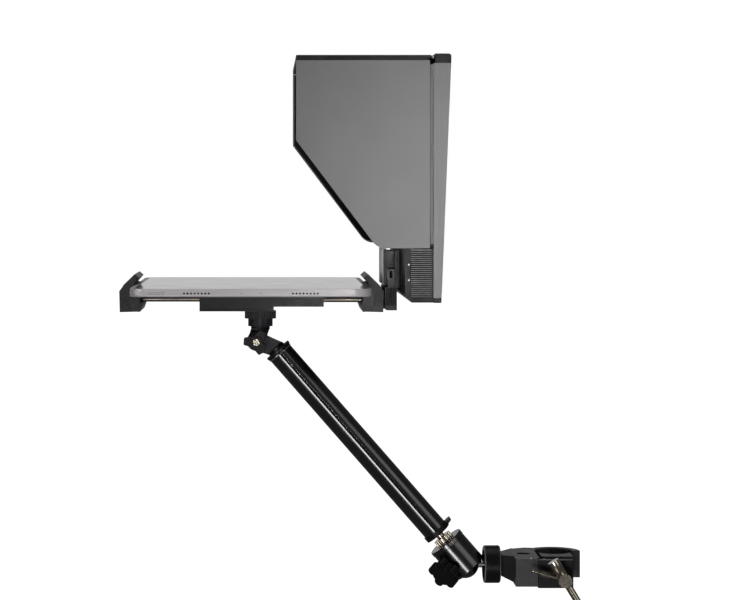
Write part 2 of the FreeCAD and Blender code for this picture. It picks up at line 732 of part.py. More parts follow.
def lower_knuckle():
    """The far half of the tilt knuckle, with the tube's plug and top ring."""
    px, pz = PIVOT
    disc = cross_pin(PIVOT_R, PIVOT, (0.1, 8.0))
    bar = rod(PIVOT_R - 0.2, arm_point(-5.0, -0.4), arm_point(0.5))
    run = arm_point(-3.0) - V(px, 0, pz)
    run.normalize()
    half = PIVOT_R - 0.2
    web = [(px - run.z * half, pz + run.x * half), (px + run.z * half, pz - run.x * half)]
    for up in (-half, half):
        corner = arm_point(-2.9, up)
        web.append((corner.x, corner.z))
    ring = rod(11.0, arm_point(-3.0), arm_point(0.0))
    ring = ring.makeChamfer(1.1, [e for e in ring.Edges if isinstance(e.Curve, Part.Circle)][:1])
    plug = rod(TUBE_BORE_R, arm_point(0.0), arm_point(14.0))
    body = join(disc, slab(web, (0.1, 7.0)), bar, ring, plug)
    clear = cross_pin(PIVOT_R + 0.6, PIVOT, (-9, 0.1))
    return body.cut([clear, cross_pin(BOLT_R, PIVOT, (-1, 9)), hexagon((5.0, 9.0))])


def hexagon(y):
    """A six-sided block on the tilt axis, over a range of y."""
    px, pz = PIVOT
    corners = []
    for i in range(6):
        turn = math.radians(60 * i)
        corners.append((px + 3.9 * math.cos(turn), pz + 3.9 * math.sin(turn)))
    return slab(corners, y)


def tilt_nut():
    """The six-sided nut in the lower knuckle."""
    return hexagon((5.0, 8.6)).cut(cross_pin(BOLT_R - 0.04, PIVOT, (4, 10)))


def tilt_knob():
    """The three-lobed knob on the near side of the tilt knuckle."""
    px, pz = PIVOT
    outline = []
    for angle in (56, 176, 296):
        for reach, swing in ((5.2, -60), (10.2, -15), (10.2, 15)):
            turn = math.radians(angle + swing)
            outline.append((px + reach * math.cos(turn), pz + reach * math.sin(turn)))
    lobes = softened(slab(outline, (-18.6, -11.6)), 1.2, V(0, 1, 0))
    hub = cross_pin(4.6, PIVOT, (-20.0, -8.3))
    return join(hub, lobes).cut(cross_pin(BOLT_R, PIVOT, (-21, -8)))


def tilt_bolt():
    """The steel bolt that turns with the tilt knob."""
    px, pz = PIVOT
    shank = cross_pin(BOLT_R, PIVOT, (-20.0, -0.2))
    tip = cross_pin(BOLT_R - 0.1, PIVOT, (-0.2, 8.0))
    head = cross_pin(2.6, PIVOT, (-21.2, -20.0))
    return join(shank, tip, head).cut(box((px - 3, px + 3), (-22.5, -20.7), (pz - 0.4, pz + 0.4)))


# ---------------------------------------------------------------- arm tube


def arm_tube():
    """The black tube, with one long groove on each side."""
    body = pipe(TUBE_R, TUBE_BORE_R, arm_point(0.0), arm_point(TUBE_LENGTH))
    for side in (-1, 1):
        y = side * (TUBE_R + 0.15)
        body = body.cut(rod(0.85, arm_point(-1.0, 0, y), arm_point(TUBE_LENGTH + 1, 0, y)))
    return body


def bottom_cap():
    """The tube's bottom cap, with a short tab that stands out on its upper side."""
    cap = rod(11.0, arm_point(TUBE_LENGTH), arm_point(TUBE_LENGTH + 4.0))
    plug = rod(TUBE_BORE_R, arm_point(TUBE_LENGTH - 12.0), arm_point(TUBE_LENGTH))
    corners = [(0.0, 4.0), (0.0, 10.6), (-0.2, 13.0), (0.1, 15.2), (2.1, 14.8), (2.8, 11.5), (3.4, 4.0)]
    tab_points = [arm_point(TUBE_LENGTH + s, up) for s, up in corners]
    tab = slab([(p.x, p.z) for p in tab_points], (-4.5, 4.5))
    body = join(cap, plug, tab)
    return body.cut(lower_stud())


def lower_stud():
    """The steel stud between the tube and the ball head."""
    return rod(STUD_R, arm_point(STUD_SPAN[0]), arm_point(STUD_SPAN[1]))


def stud_nut():
    """The round steel nut on the lower stud."""
    start, end = NUT_SPAN
    body = rod(7.6, arm_point(start), arm_point(end))
    cuts = [rod(STUD_R + 0.05, arm_point(start - 1), arm_point(end + 1))]
    for i in range(20):
        groove = rod(1.0, arm_point(start, 7.9), arm_point(end, 7.9))
        groove.rotate(arm_point(start), ARM_DIR, 18 * i)
        cuts.append(groove)
    return body.cut(cuts)


# ---------------------------------------------------------------- ball head


def collar_window(radius, start, end):
    """A round bar that points to the near side through the ball head's collar."""
    middle = (HEAD_COLLAR[0] + HEAD_COLLAR[1]) / 2
    return rod(radius, arm_point(middle, 2.0, -start), arm_point(middle, 2.3, -end))


def ball_collar():
    """The fixed ring at the top of the ball head, with its small locking screw's window."""
    start, end = HEAD_COLLAR
    body = rod(14.8, arm_point(start), arm_point(end))
    rims = [e for e in body.Edges if isinstance(e.Curve, Part.Circle)]
    body = body.makeChamfer(0.4, rims)
    body = body.cut(rod(STUD_R, arm_point(start - 1), arm_point(end + 1)))
    return body.cut(collar_window(1.5, 12.0, 16.0))


def collar_screw():
    """The small chrome screw in the ball head's collar."""
    return collar_window(1.45, 12.2, 14.9)


def knob_axis():
    """The star knob's direction: square to the tube, between down and the near side."""
    return V(ARM_UP) * -KNOB_DOWN + V(0, -KNOB_SIDE, 0)


def knob_point(out):
    """A point on the star knob's axis, a distance out from the ball head's own axis."""
    return arm_point(KNOB_ALONG) + knob_axis() * out


def ball_housing():
    """The ball head's black housing, bored for the ball and flared at its mouth."""
    start, end = HOUSING_SPAN
    body = rod(HOUSING_R, arm_point(start), arm_point(end))
    circles = [e for e in body.Edges if isinstance(e.Curve, Part.Circle)]
    body = body.makeChamfer(1.5, [e for e in circles if (e.CenterOfMass - arm_point(end)).Length < 1])
    cavity = Part.makeSphere(BALL_R + 0.05, BALL_CENTRE)
    throat = Part.makeCone(10.3, 12.5, 2.1, BALL_CENTRE + ARM_DIR * 3.6, ARM_DIR)
    stud_hole = rod(STUD_R + 0.05, arm_point(start - 1), arm_point(STUD_SPAN[1] + 0.6))
    return body.cut([cavity, throat, stud_hole, rod(2.5, knob_point(10), knob_point(16))])


def ball_knob():
    """The star knob that locks the ball."""
    across = V(0, KNOB_DOWN, 0) - V(ARM_UP) * KNOB_SIDE
    body = rod(8.2, knob_point(17.2), knob_point(27.0))
    for i in range(5):
        turn = math.radians(72 * i + 20)
        offset = (across * math.cos(turn) + V(ARM_DIR) * math.sin(turn)) * 8.6
        lobe = rod(3.7, knob_point(18.4) + offset, knob_point(26.2) + offset)
        body = join(body, lobe)
    return body.cut(rod(2.5, knob_point(16), knob_point(24.0)))


def ball_knob_screw():
    """The steel screw from the star knob into the housing."""
    return rod(2.45, knob_point(10.2), knob_point(24.0))


def ball_stem():
    """The steel ball with its stem, which carries the clamp."""
    x, _, z = BALL_CENTRE
    stem = rod(STEM_R, V(x + 8, 0, z), V(62.0, 0, z))
    shoulder = rod(4.2, V(38.6, 0, z), V(41.8, 0, z))
    return join(Part.makeSphere(BALL_R, BALL_CENTRE), stem, shoulder)


# ---------------------------------------------------------------- column clamp


def lock_wheel():
    """The hollow wheel on the stem: a rim, five spokes and a hub."""
    z = BALL_CENTRE.z
    rim = rod(WHEEL_R, V(WHEEL_X[0], 0, z), V(WHEEL_X[1], 0, z))
    rim = rim.makeChamfer(0.9, [e for e in rim.Edges if isinstance(e.Curve, Part.Circle)])
    rim = rim.cut(rod(WHEEL_R - 2.4, V(WHEEL_X[0] - 1, 0, z), V(WHEEL_X[1] + 1, 0, z)))
    hub = rod(6.0, V(42.0, 0, z), V(WHEEL_X[1], 0, z))
    spokes = []
    for i in range(5):
        spoke = box((44.0, WHEEL_X[1]), (-1.4, 1.4), (z, z + WHEEL_R - 1.0))
        spoke.rotate(V(0, 0, z), V(1, 0, 0), 72 * i + 12)
        spokes.append(spoke)
    web = rod(WHEEL_R - 1.2, V(47.4, 0, z), V(WHEEL_X[1], 0, z))
    body = join(rim, hub, web, *spokes)
    return body.cut(rod(STEM_R + 0.06, V(30, 0, z), V(60, 0, z)))


def clamp_body():
    """The clamp's C-shaped body: socket, tapered neck, spine and the hook behind the column."""
    z = CLAMP_Z
    mid = BALL_CENTRE.z
    socket = rod(8.2, V(50.0, 0, mid), V(58.0, 0, mid))
    neck = plate([(50, -9.6), (60, -30), (60, 14), (50, 9.6)], z)
    neck = neck.common(slab([(50, -319.5), (60, z[0]), (60, z[1]), (50, -303.0)], (-31, 15)))
    near = [(57.5, -20), (57.5, -44), (BLOCK_START, -44), (BLOCK_START, WALL_IN)]
    spine = plate(near + [(76.6, WALL_IN), (76.6, 16), (70, 17), (60, 12)], z)
    hook = rod(PAD_BACK_R + 6.5, V(COLUMN_X, 0, z[0]), V(COLUMN_X, 0, z[1]))
    hook = hook.cut(box((0, 150), (-40, 0), (-330, -290)))
    body = join(socket, neck, spine, hook)
    gap = box((77.5, 130), (WALL_IN, 0), (-330, -290))
    bore = rod(PAD_BACK_R, V(COLUMN_X, 0, -330), V(COLUMN_X, 0, -290))
    hole = rod(STEM_R + 0.03, V(49, 0, mid), V(62.0, 0, mid))
    window = softened(box((61.5, 71.5), (-18, -10), (-330, -290)), 2.0, V(0, 0, 1))
    return body.cut([gap, bore, hole, window])


def clamp_block():
    """The black block on the near end of the clamp, threaded for the lever's screw."""
    body = box((BLOCK_START, 101.6), (-44.6, WALL_IN), (-323.0, -301.7))
    body = softened(body, 0.8, V(0, 0, 1), (None, -44.6, None))
    return body.cut(rod(4.06, V(SCREW_X, -50, SCREW_Z), V(SCREW_X, -30, SCREW_Z)))


def pad_arc(start, end):
    """A curved pad against the column, between two angles in plan."""
    z = CLAMP_Z
    ring = pipe(PAD_BACK_R, COLUMN_R, V(COLUMN_X, 0, z[0] + 0.5), V(COLUMN_X, 0, z[1] - 0.5))
    reach = 40.0
    corners = [(COLUMN_X, 0)]
    for step in range(9):
        turn = math.radians(start + (end - start) * step / 8)
        corners.append((COLUMN_X + reach * math.cos(turn), reach * math.sin(turn)))
    return ring.common(plate(corners, (-330, -290)))


def clamp_jaw():
    """The moving jaw, hollowed to the column and bored for the end of the screw."""
    z = (CLAMP_Z[0] + 0.4, CLAMP_Z[1] - 0.4)
    body = box((79.2, 103.8), (-27.0, -6.8), z)
    body = softened(body, 2.0, V(0, 0, 1), (None, -27.0, None))
    bore = rod(PAD_BACK_R, V(COLUMN_X, 0, -330), V(COLUMN_X, 0, -290))
    return body.cut([bore, rod(3.06, V(SCREW_X, -28, SCREW_Z), V(SCREW_X, -19.0, SCREW_Z))])


def clamp_screw():
    """The steel screw from the lever to the moving jaw."""
    thread = rod(4.0, V(SCREW_X, -61.0, SCREW_Z), V(SCREW_X, -27.1, SCREW_Z))
    pilot = rod(3.0, V(SCREW_X, -27.1, SCREW_Z), V(SCREW_X, -19.2, SCREW_Z))
    return join(thread, pilot)


def lever_point(along):
    """A point on the lever's own line, a distance down from its boss."""
    return V(SCREW_X, LEVER_Y, SCREW_Z) + LEVER_DIR * along


def clamp_lever():
    """The steel lever: a boss on the screw, a stub cylinder up and a long arm down."""
    boss = rod(5.2, V(SCREW_X, LEVER_Y - 5.0, SCREW_Z), V(SCREW_X, LEVER_Y + 5.0, SCREW_Z))
    stub = rod(4.4, lever_point(0), lever_point(-17.0))
    arm = Part.makeCone(2.8, 2.5, 50.0, lever_point(3.0), LEVER_DIR)
    tip = rod(4.2, lever_point(46.0), lever_point(58.0))
    tip = tip.makeFillet(1.6, [e for e in tip.Edges if isinstance(e.Curve, Part.Circle)])
    body = join(boss, stub, arm, tip)
    return body.cut([rod(4.0, V(SCREW_X, -70, SCREW_Z), V(SCREW_X, -40, SCREW_Z)), tommy_rod()])


def tommy_rod():
    """The thin rod that stands out of the lever's boss."""
    return rod(TOMMY_R, lever_point(0) + TOMMY_RUN * 0.16, lever_point(0) + TOMMY_RUN)


def tommy_bar():
    """The thin steel bar with its thicker sleeve and rounded end."""
    sleeve = rod(2.35, lever_point(0) + TOMMY_RUN * 0.5, lever_point(0) + TOMMY_RUN * 0.74)
    return join(tommy_rod(), sleeve, Part.makeSphere(TOMMY_R, lever_point(0) + TOMMY_RUN))


os.makedirs("parts", exist_ok=True)

save("rear_frame", rear_frame())
save("top_rail", top_rail())
save("bottom_rail", bottom_rail())
save("front_bezel", front_bezel())
save("hood_fasteners", group(back_screws() + side_screws() + hinge_pins()))
save("ring_gasket", gasket())
save("adapter_ring", adapter_ring())
save("latch_left", latch(-1))
save("latch_right", latch(1))
save("base_housing", base_housing())
save("side_grips", group([grip(-1), grip(1)]))
save("top_flap", top_flap())
save("top_flap_lining", top_lining())
save("left_flap", side_flap(-1))
save("left_flap_lining", side_lining(-1))
save("right_flap", side_flap(1))
save("right_flap_lining", side_lining(1))
save("glass_frame", lean_forward(glass_frame()))
save("beam_splitter_glass", lean_forward(glass_sheet()))
save("bracket_base", bracket_base())
save("phone_plate", phone_plate())
save("plate_face", plate_face())
save("hinge_block", hinge_block())
save("rear_jaw", rear_jaw())
save("rear_jaw_pad", jaw_pad(1))
save("rear_rods", group(rear_rods()))
save("centre_block", centre_block())
save("thread_insert", thread_insert())
save("front_jaw", front_jaw())
save("front_jaw_pad", jaw_pad(-1))
save("front_rods", group(front_rods()))
save("jaw_springs", group(jaw_springs()))
save("tablet_shell", tablet_shell())
save("tablet_screen", screen())
save("power_button", power_button())
save("volume_rocker", volume_rocker())
save("lock_collar", lock_collar())
save("arm_screw", arm_screw())
save("arm_head", arm_head())
save("lower_knuckle", lower_knuckle())
save("tilt_nut", tilt_nut())
save("tilt_knob", tilt_knob())
save("tilt_bolt", tilt_bolt())
save("arm_tube", arm_tube())
save("bottom_cap", bottom_cap())
save("lower_stud", lower_stud())
save("stud_nut", stud_nut())
save("ball_collar", group([ball_collar(), collar_screw()]))
save("ball_housing", ball_housing())
save("ball_knob", ball_knob())
save("ball_knob_screw", ball_knob_screw())
save("ball_stem", ball_stem())
save("lock_wheel", lock_wheel())
save("clamp_body", clamp_body())
save("clamp_block", clamp_block())
save("clamp_pads", pad_arc(20, 160))
save("clamp_jaw", clamp_jaw())
save("clamp_jaw_pad", pad_arc(205, 335))
save("clamp_screw", clamp_screw())
save("clamp_lever", group([clamp_lever(), tommy_bar()]))
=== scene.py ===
import json
import math

import bmesh
import bpy
from mathutils import Matrix, Vector

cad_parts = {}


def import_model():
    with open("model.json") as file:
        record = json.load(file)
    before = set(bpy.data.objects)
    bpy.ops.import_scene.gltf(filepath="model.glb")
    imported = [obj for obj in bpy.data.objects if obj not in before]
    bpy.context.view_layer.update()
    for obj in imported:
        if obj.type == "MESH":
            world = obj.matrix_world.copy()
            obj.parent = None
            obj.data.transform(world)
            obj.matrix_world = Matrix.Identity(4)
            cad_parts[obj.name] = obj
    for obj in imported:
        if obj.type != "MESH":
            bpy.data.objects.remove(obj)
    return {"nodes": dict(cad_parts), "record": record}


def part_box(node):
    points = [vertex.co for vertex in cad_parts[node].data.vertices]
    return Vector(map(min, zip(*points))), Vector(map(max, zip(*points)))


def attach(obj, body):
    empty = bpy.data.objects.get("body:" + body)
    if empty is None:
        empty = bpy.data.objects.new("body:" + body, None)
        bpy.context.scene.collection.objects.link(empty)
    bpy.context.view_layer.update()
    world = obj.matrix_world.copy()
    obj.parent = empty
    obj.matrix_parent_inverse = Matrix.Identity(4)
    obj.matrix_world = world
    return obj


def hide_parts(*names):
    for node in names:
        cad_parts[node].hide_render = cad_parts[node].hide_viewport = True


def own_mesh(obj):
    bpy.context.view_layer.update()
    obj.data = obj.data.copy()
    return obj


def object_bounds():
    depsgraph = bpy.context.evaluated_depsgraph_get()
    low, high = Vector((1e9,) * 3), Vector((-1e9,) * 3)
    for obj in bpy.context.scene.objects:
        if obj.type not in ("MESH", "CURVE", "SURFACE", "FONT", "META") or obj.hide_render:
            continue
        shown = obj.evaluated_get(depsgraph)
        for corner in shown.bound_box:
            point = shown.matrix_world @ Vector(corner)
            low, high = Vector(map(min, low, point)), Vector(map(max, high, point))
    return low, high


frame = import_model()
cad_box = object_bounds()

# Looks of the teleprompter. Metres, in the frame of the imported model: +X runs to the camera's lens, +Z is up,
# and the object is seen from -Y. Each node's refined piece starts from the node's own surface.

MM = 0.001
CAMERA_PLACE = (-0.134, -1.840, -0.021)
LENS_MM = 112.5
SENSOR_MM = 36.0
SHIFT = (0.1453, -0.1413)
FLOOR_DROP = 1.0
ROOM_DIM = 0.09
ROOM_BRIGHT = 0.6
# pointiness range over which edges pale: partly wear, partly painted highlight
EDGE_WEAR_AND_HIGHLIGHT_RANGE = (0.56, 0.66)
BEVEL_SEGMENTS = 2
USUAL_BEVEL = 0.25

body_of = {n: b for b, names in frame["record"]["behaviour"]["bodies"].items() for n in names}
slot_of = {p["node"]: p["material_slot"] for p in frame["record"]["subparts"]}
joint_of = {j["name"]: j for j in frame["record"]["behaviour"]["joints"]}
mount_of = {m["name"]: m for m in frame["record"]["mounts"]}

# the arm's own frame: its direction is the nut's axis, and the nut's middle is this far down the tube
NUT_ALONG = 0.1947
ARM_DIR = Vector(joint_of["stud_nut_turn"]["axis"]).normalized()
ARM_UP = Vector((-ARM_DIR.z, 0, ARM_DIR.x))
ARM_START = Vector(joint_of["stud_nut_turn"]["pos_m"]) - ARM_DIR * NUT_ALONG


# ---------------------------------------------------------------- shader helpers


def new_material(name, colour, roughness, metallic=0.0, specular=0.5):
    """A material with a Principled shader, and that shader."""
    mat = bpy.data.materials.new(name)
    mat.use_nodes = True
    shader = mat.node_tree.nodes["Principled BSDF"]
    shader.inputs["Base Color"].default_value = (*colour, 1.0)
    shader.inputs["Roughness"].default_value = roughness
    shader.inputs["Metallic"].default_value = metallic
    shader.inputs["Specular IOR Level"].default_value = specular
    mat.diffuse_color = (*colour, 1.0)
    return mat, shader


def add_node(mat, kind, **values):
    """A node with some of its inputs set by name."""
    node = mat.node_tree.nodes.new(kind)
    for key, value in values.items():
        node.inputs[key].default_value = value
    return node


def wire(mat, start, end):
    """A link between two sockets."""
    mat.node_tree.links.new(start, end)


def place_of(mat, stretch=(1.0, 1.0, 1.0)):
    """The object's own coordinates, stretched along each axis."""
    coords = add_node(mat, "ShaderNodeTexCoord")
    mapping = add_node(mat, "ShaderNodeMapping", Scale=stretch)
    wire(mat, coords.outputs["Object"], mapping.inputs["Vector"])
    return mapping.outputs["Vector"]


def noise(mat, scale, detail=2.0, stretch=(1.0, 1.0, 1.0)):
    """Noise from 0 to 1, scale in cells a metre."""
    node = add_node(mat, "ShaderNodeTexNoise", Scale=scale, Detail=detail)
    wire(mat, place_of(mat, stretch), node.inputs["Vector"])
    return node.outputs["Fac"]


def cells(mat, scale):
    """Distance to the nearest cell centre, as in moulded leather or cast grain."""
    node = add_node(mat, "ShaderNodeTexVoronoi", Scale=scale)
    wire(mat, place_of(mat), node.inputs["Vector"])
    return node.outputs["Distance"]


def ranged(mat, value, low, high, start=0.3, end=0.7):
    """A value spread over a new range."""
    node = add_node(mat, "ShaderNodeMapRange")
    node.inputs["From Min"].default_value = start
    node.inputs["From Max"].default_value = end
    node.inputs["To Min"].default_value = low
    node.inputs["To Max"].default_value = high
    wire(mat, value, node.inputs["Value"])
    return node.outputs["Result"]


def mixed(mat, factor, first, second):
    """A colour between two others, each a colour or a socket."""
    node = mat.node_tree.nodes.new("ShaderNodeMix")
    node.data_type = "RGBA"
    wire(mat, factor, node.inputs["Factor"])
    for socket, value in ((node.inputs[6], first), (node.inputs[7], second)):
        if isinstance(value, tuple):
            socket.default_value = (*value, 1.0)
        else:
            wire(mat, value, socket)
    return node.outputs[2]


def bumped(mat, shader, height, depth, strength=1.0):
    """A fine relief, depth in metres."""
    node = add_node(mat, "ShaderNodeBump", Strength=strength, Distance=depth)
    wire(mat, height, node.inputs["Height"])
    wire(mat, node.outputs["Normal"], shader.inputs["Normal"])


def edges_worn_and_highlit(mat, colour, bright):
    """A colour that pales patchily on convex edges: partly wear, partly a painted highlight along the edges."""
    geometry = add_node(mat, "ShaderNodeNewGeometry")
    edge_wear_and_highlight = ranged(mat, geometry.outputs["Pointiness"], 0.0, 1.0, *EDGE_WEAR_AND_HIGHLIGHT_RANGE)
    patchy = ranged(mat, noise(mat, 260.0, 3.0), 0.15, 0.8)
    both = mat.node_tree.nodes.new("ShaderNodeMath")
    both.operation = "MULTIPLY"
    wire(mat, edge_wear_and_highlight, both.inputs[0])
    wire(mat, patchy, both.inputs[1])
    return mixed(mat, both.outputs[0], colour, bright)


# ---------------------------------------------------------------- materials


def satin_board():
    """The grey satin skin of the side flaps: fine sprayed grain with a faint cloudiness."""
    mat, shader = new_material("satin_board", (0.17, 0.17, 0.173), 0.42, specular=0.3)
    cloud = mixed(mat, ranged(mat, noise(mat, 28.0), 0, 1), (0.161, 0.161, 0.164), (0.179, 0.178, 0.181))
    grain = ranged(mat, noise(mat, 2600.0, 3.0), 0, 1)
    fine = mixed(mat, grain, (0.135, 0.135, 0.138), (0.206, 0.205, 0.208))
    both = mat.node_tree.nodes.new("ShaderNodeMix")
    both.data_type = "RGBA"
    both.inputs["Factor"].default_value = 0.35
    wire(mat, cloud, both.inputs[6])
    wire(mat, fine, both.inputs[7])
    wire(mat, both.outputs[2], shader.inputs["Base Color"])
    wire(mat, ranged(mat, noise(mat, 1900.0, 2.0), 0.36, 0.5), shader.inputs["Roughness"])
    bumped(mat, shader, noise(mat, 3000.0, 2.0), 0.00006, 0.5)
    return mat


def streaked_frame():
    """The hood frame's grey sides, drawn along their length."""
    mat, shader = new_material("streaked_frame", (0.165, 0.159, 0.161), 0.4, specular=0.3)
    streak = noise(mat, 900.0, 3.0, (1.0, 1.0, 0.02))
    wire(mat, mixed(mat, ranged(mat, streak, 0, 1), (0.145, 0.139, 0.141), (0.185, 0.179, 0.181)),
         shader.inputs["Base Color"])
    wire(mat, ranged(mat, streak, 0.34, 0.5), shader.inputs["Roughness"])
    bumped(mat, shader, streak, 0.00004, 0.5)
    return mat


def moulded(name, colour, roughness, grain=1800.0, depth=0.00004, edge_wear_and_highlight=None):
    """Moulded plastic: fine spark grain, slightly uneven gloss, edges paler from wear and from a painted
    highlight.
    """
    mat, shader = new_material(name, colour, roughness, specular=0.16)
    pale = tuple(min(1.0, c * 1.7 + 0.004) for c in colour)
    dark = tuple(c * 0.75 for c in colour)
    body = mixed(mat, ranged(mat, noise(mat, 420.0, 4.0), 0, 1), dark, tuple(c * 1.2 for c in colour))
    wire(mat, edges_worn_and_highlit(mat, body, edge_wear_and_highlight or pale), shader.inputs["Base Color"])
    wire(mat, ranged(mat, noise(mat, 90.0, 3.0), roughness - 0.06, roughness + 0.08),
         shader.inputs["Roughness"])
    bumped(mat, shader, noise(mat, grain, 2.0), depth, 0.6)
    return mat


def flocked():
    """The black lining: short dull pile."""
    mat, shader = new_material("flocked_lining", (0.012, 0.012, 0.013), 0.95, specular=0.15)
    fibre = noise(mat, 2400.0, 4.0)
    wire(mat, mixed(mat, ranged(mat, fibre, 0, 1), (0.006, 0.006, 0.007), (0.02, 0.019, 0.02)),
         shader.inputs["Base Color"])
    shader.inputs["Sheen Weight"].default_value = 0.15
    bumped(mat, shader, fibre, 0.0002, 0.8)
    return mat


def anodised():
    """Gloss black anodised aluminium, with faint smears in the gloss."""
    mat, shader = new_material("black_anodised", (0.005, 0.005, 0.007), 0.2, specular=0.9)
    tone = noise(mat, 160.0, 3.0)
    wire(mat, mixed(mat, ranged(mat, tone, 0, 1), (0.004, 0.004, 0.006), (0.006, 0.006, 0.008)),
         shader.inputs["Base Color"])
    wire(mat, ranged(mat, noise(mat, 40.0, 2.0), 0.18, 0.22), shader.inputs["Roughness"])
    return mat


def brushed(name, colour, roughness, stretch=(1.0, 1.0, 1.0), warm=None):
    """Bright metal with fine brushing and a little tarnish."""
    mat, shader = new_material(name, colour, roughness, metallic=1.0)
    line = noise(mat, 1600.0, 3.0, stretch)
    stain = ranged(mat, noise(mat, 140.0, 3.0), 0.0, 0.6)
    base = mixed(mat, stain, colour, warm or tuple(c * 0.8 for c in colour))
    wire(mat, base, shader.inputs["Base Color"])
    wire(mat, ranged(mat, line, roughness - 0.05, roughness + 0.1), shader.inputs["Roughness"])
    bumped(mat, shader, line, 0.00002, 0.4)
    return mat


def rubber():
    """Soft black rubber, dull, with a dusty bloom."""
    mat, shader = new_material("soft_rubber", (0.02, 0.019, 0.02), 0.75, specular=0.3)
    dust = ranged(mat, noise(mat, 300.0, 5.0), 0, 1)
    wire(mat, mixed(mat, dust, (0.014, 0.013, 0.014), (0.034, 0.033, 0.034)), shader.inputs["Base Color"])
    bumped(mat, shader, cells(mat, 1500.0), 0.00005, 0.6)
    return mat


def blasted_aluminium():
    """The tablet's lilac-silver shell, bead-blasted."""
    mat, shader = new_material("blasted_aluminium", (0.4, 0.375, 0.39), 0.42, metallic=0.2)
    grain = noise(mat, 5200.0, 2.0)
    wire(mat, mixed(mat, ranged(mat, grain, 0, 1), (0.37, 0.347, 0.36), (0.43, 0.403, 0.42)),
         shader.inputs["Base Color"])
    wire(mat, ranged(mat, noise(mat, 700.0, 2.0), 0.37, 0.46), shader.inputs["Roughness"])
    bumped(mat, shader, grain, 0.00001, 0.5)
    return mat


def cover_glass():
    """The tablet's dark cover glass with a thin oily film."""
    mat, shader = new_material("cover_glass", (0.012, 0.012, 0.014), 0.06)
    shader.inputs["Coat Weight"].default_value = 0.4
    wire(mat, ranged(mat, noise(mat, 45.0, 5.0), 0.05, 0.13), shader.inputs["Roughness"])
    film = ranged(mat, noise(mat, 18.0, 2.0), 0, 1)
    wire(mat, mixed(mat, film, (0.010, 0.010, 0.012), (0.016, 0.016, 0.019)), shader.inputs["Base Color"])
    return mat


def half_silvered():
    """The beam-splitter glass: part mirror, part clear."""
    mat, shader = new_material("half_silvered", (0.78, 0.84, 0.86), 0.02, metallic=0.85)
    wire(mat, ranged(mat, noise(mat, 12.0, 2.0), 0.32, 0.38), shader.inputs["Alpha"])
    wire(mat, ranged(mat, noise(mat, 40.0, 3.0), 0.015, 0.035), shader.inputs["Roughness"])
    return mat


def cast_paint():
    """Dark grey painted casting: a soft orange peel over a coarse surface."""
    mat, shader = new_material("cast_paint", (0.036, 0.034, 0.037), 0.45, specular=0.3)
    peel = noise(mat, 700.0, 2.0)
    body = mixed(mat, ranged(mat, noise(mat, 120.0, 4.0), 0, 1), (0.03, 0.0285, 0.031), (0.043, 0.041, 0.044))
    # edges pale towards a lighter grey: partly wear, partly a painted highlight
    wire(mat, edges_worn_and_highlit(mat, body, (0.12, 0.117, 0.115)), shader.inputs["Base Color"])
    wire(mat, ranged(mat, peel, 0.38, 0.52), shader.inputs["Roughness"])
    bumped(mat, shader, peel, 0.0001, 0.4)
    return mat


ROUND = (1.0, 1.0, 1.0)
materials = {
    "frame_grey": streaked_frame(),
    # the last colour given to a moulded finish is its edge colour: partly wear, partly a painted highlight
    "black_plastic": moulded("black_plastic", (0.0072, 0.0066, 0.007), 0.42),
    "edged_black": moulded("edged_black", (0.008, 0.0076, 0.0078), 0.34, 1800.0, 0.00003,
                           (0.14, 0.137, 0.14)),
    "knuckle_black": moulded("knuckle_black", (0.0095, 0.009, 0.013), 0.36, 1800.0, 0.00002,
                             (0.09, 0.087, 0.1)),
    "collar_grey": moulded("collar_grey", (0.024, 0.022, 0.023), 0.36, 1600.0, 0.00003, (0.08, 0.077, 0.08)),
    "ribbed_grey": moulded("ribbed_grey", (0.2, 0.195, 0.2), 0.4, 1500.0, 0.00004, (0.24, 0.235, 0.24)),
    "jaw_light": moulded("jaw_light", (0.135, 0.128, 0.132), 0.44, 1300.0, 0.00008, (0.3, 0.292, 0.296)),
    "aged_steel": brushed("aged_steel", (0.46, 0.42, 0.35), 0.17, ROUND, (0.22, 0.18, 0.13)),
    "rod_steel": brushed("rod_steel", (0.14, 0.125, 0.105), 0.3, (0.05, 1.0, 1.0), (0.08, 0.068, 0.055)),
    "flap_grey": satin_board(),
    "lining_black": flocked(),
    "glass": half_silvered(),
    "steel": brushed("brushed_steel", (0.6, 0.58, 0.54), 0.28, (0.05, 1.0, 1.0), (0.5, 0.45, 0.38)),
    "rubber": rubber(),
    "plate_light": moulded("light_plate", (0.56, 0.525, 0.52), 0.4, 2400.0, 0.00003, (0.7, 0.68, 0.67)),
    "jaw_plastic": moulded("jaw_plastic", (0.04, 0.037, 0.0385), 0.46, 1500.0, 0.00006, (0.12, 0.115, 0.118)),
    "brass": brushed("plain_brass", (0.72, 0.5, 0.22), 0.3, ROUND, (0.5, 0.33, 0.14)),
    "tablet_metal": blasted_aluminium(),
    "screen_glass": cover_glass(),
    "black_anodised": anodised(),
    "clamp_cast": cast_paint(),
    "chrome": brushed("bright_chrome", (0.72, 0.69, 0.64), 0.14, ROUND, (0.6, 0.55, 0.47)),
    # painted shade: a near-black finish laid inside holes and grooves, where only shade darkens them
    "painted_recess_shade": moulded("painted_recess_shade", (0.006, 0.006, 0.007), 0.7),
}


# ---------------------------------------------------------------- mesh helpers


def add_object(name, mesh):
    """An object in the scene for a mesh."""
    obj = bpy.data.objects.new(name, mesh)
    bpy.context.scene.collection.objects.link(obj)
    return obj


def smooth(mesh, angle=32.0):
    """Smooth shading with sharp edges past an angle in degrees."""
    mesh.shade_smooth()
    mesh.set_sharp_from_angle(angle=math.radians(angle))


